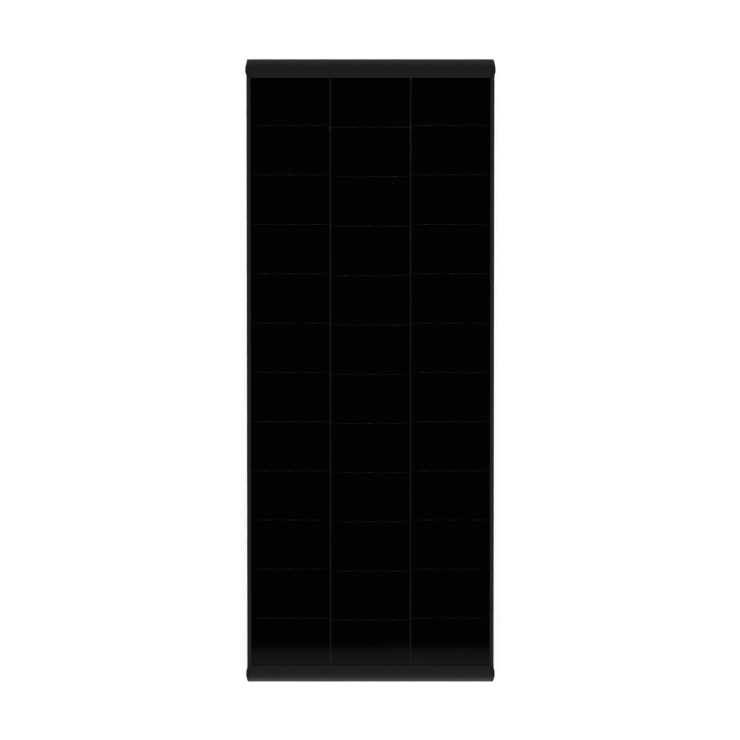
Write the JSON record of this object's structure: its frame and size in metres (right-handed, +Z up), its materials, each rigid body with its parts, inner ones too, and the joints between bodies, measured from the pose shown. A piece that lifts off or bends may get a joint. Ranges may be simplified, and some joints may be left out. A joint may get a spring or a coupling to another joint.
{
  "type": "solar panel",
  "caption": "Rigid black roof solar panel: glass laminate over dark back-contact cells, low side rails, aerofoil end profiles with end caps, and a junction box underneath.",
  "frame": {"origin": "on the mounting face, under the middle of the panel", "axes": "+Z up out of the cell face, +Y along the length towards the junction box end, +X along the width"},
  "size_m": [0.513, 1.29, 0.067],
  "materials": {
    "solar_glass": "tempered solar glass, polished",
    "encapsulant": "clear laminated film",
    "silicon_cell": "textured dark silicon",
    "backsheet_film": "black polymer backsheet",
    "tinned_copper": "tinned copper, dull",
    "insulation_film": "black insulating film",
    "label_film": "blank silver-grey label film",
    "black_rubber": "black rubber",
    "black_aluminium": "satin black anodised extrusion",
    "plain_aluminium": "mill-finish extrusion",
    "cap_plastic": "textured black moulding",
    "stainless_steel": "stainless fastener",
    "box_plastic": "black moulded housing",
    "silicone_adhesive": "cured silicone",
    "diode_epoxy": "black epoxy",
    "gland_nylon": "black nylon"
  },
  "bodies": {
    "panel": {"backsheet": "backsheet_film", "bracket_screws": "stainless_steel", "bypass_diodes": "diode_epoxy", "cells_string_left": "silicon_cell", "cells_string_middle": "silicon_cell", "cells_string_right": "silicon_cell", "corner_bracket_front_left": "plain_aluminium", "corner_bracket_front_right": "plain_aluminium", "corner_bracket_rear_left": "plain_aluminium", "corner_bracket_rear_right": "plain_aluminium", "cross_ribbon": "tinned_copper", "diode_leads": "tinned_copper", "edge_gasket": "black_rubber", "encapsulant_front": "encapsulant", "encapsulant_rear": "encapsulant", "end_cap_front_left": "cap_plastic", "end_cap_front_right": "cap_plastic", "end_cap_rear_left": "cap_plastic", "end_cap_rear_right": "cap_plastic", "end_cap_screws": "stainless_steel", "front_glass": "solar_glass", "gland_body_left": "gland_nylon", "gland_body_right": "gland_nylon", "gland_locknut_left": "gland_nylon", "gland_locknut_right": "gland_nylon", "gland_seal_left": "black_rubber", "gland_seal_right": "black_rubber", "interconnect_tabs_left": "tinned_copper", "interconnect_tabs_middle": "tinned_copper", "interconnect_tabs_right": "tinned_copper", "junction_box_adhesive": "silicone_adhesive", "junction_box_base": "box_plastic", "lead_ribbon_negative": "tinned_copper", "lead_ribbon_positive": "tinned_copper", "lead_ribbon_tap": "tinned_copper", "lid_seal": "black_rubber", "rating_label": "label_film", "ribbon_insulation": "insulation_film", "side_rail_left": "black_aluminium", "side_rail_right": "black_aluminium", "spoiler_front": "black_aluminium", "spoiler_rear": "black_aluminium", "terminal_negative": "tinned_copper", "terminal_positive": "tinned_copper", "terminal_screws": "stainless_steel", "terminal_tap": "tinned_copper"},
    "box_lid": {"junction_box_lid": "box_plastic"},
    "slip_ring_left": {"gland_slip_ring_left": "gland_nylon"},
    "cap_nut_left": {"gland_cap_nut_left": "gland_nylon"},
    "slip_ring_right": {"gland_slip_ring_right": "gland_nylon"},
    "cap_nut_right": {"gland_cap_nut_right": "gland_nylon"}
  },
  "joints": [
    {"name": "box_lid_pull", "type": "slide", "parent": "panel", "child": "box_lid", "axis": [0, 0, -1], "range_m": [0, 0.03]},
    {"name": "slip_ring_travel_left", "type": "slide", "parent": "panel", "child": "slip_ring_left", "axis": [0, -1, 0], "range_m": [0, 0.0046]},
    {"name": "cap_nut_turn_left", "type": "hinge", "parent": "slip_ring_left", "child": "cap_nut_left", "pos_m": [-0.025, 0.4213, 0.0476], "axis": [0, -1, 0], "range_deg": [0, 1080]},
    {"name": "slip_ring_travel_right", "type": "slide", "parent": "panel", "child": "slip_ring_right", "axis": [0, -1, 0], "range_m": [0, 0.0046]},
    {"name": "cap_nut_turn_right", "type": "hinge", "parent": "slip_ring_right", "child": "cap_nut_right", "pos_m": [0.025, 0.4213, 0.0476], "axis": [0, -1, 0], "range_deg": [0, 1080]}
  ],
  "couplings": [
    {"joint": "slip_ring_travel_left", "follows": "cap_nut_turn_left", "m_per_rad": 0.00023873},
    {"joint": "slip_ring_travel_right", "follows": "cap_nut_turn_right", "m_per_rad": 0.00023873}
  ]
}
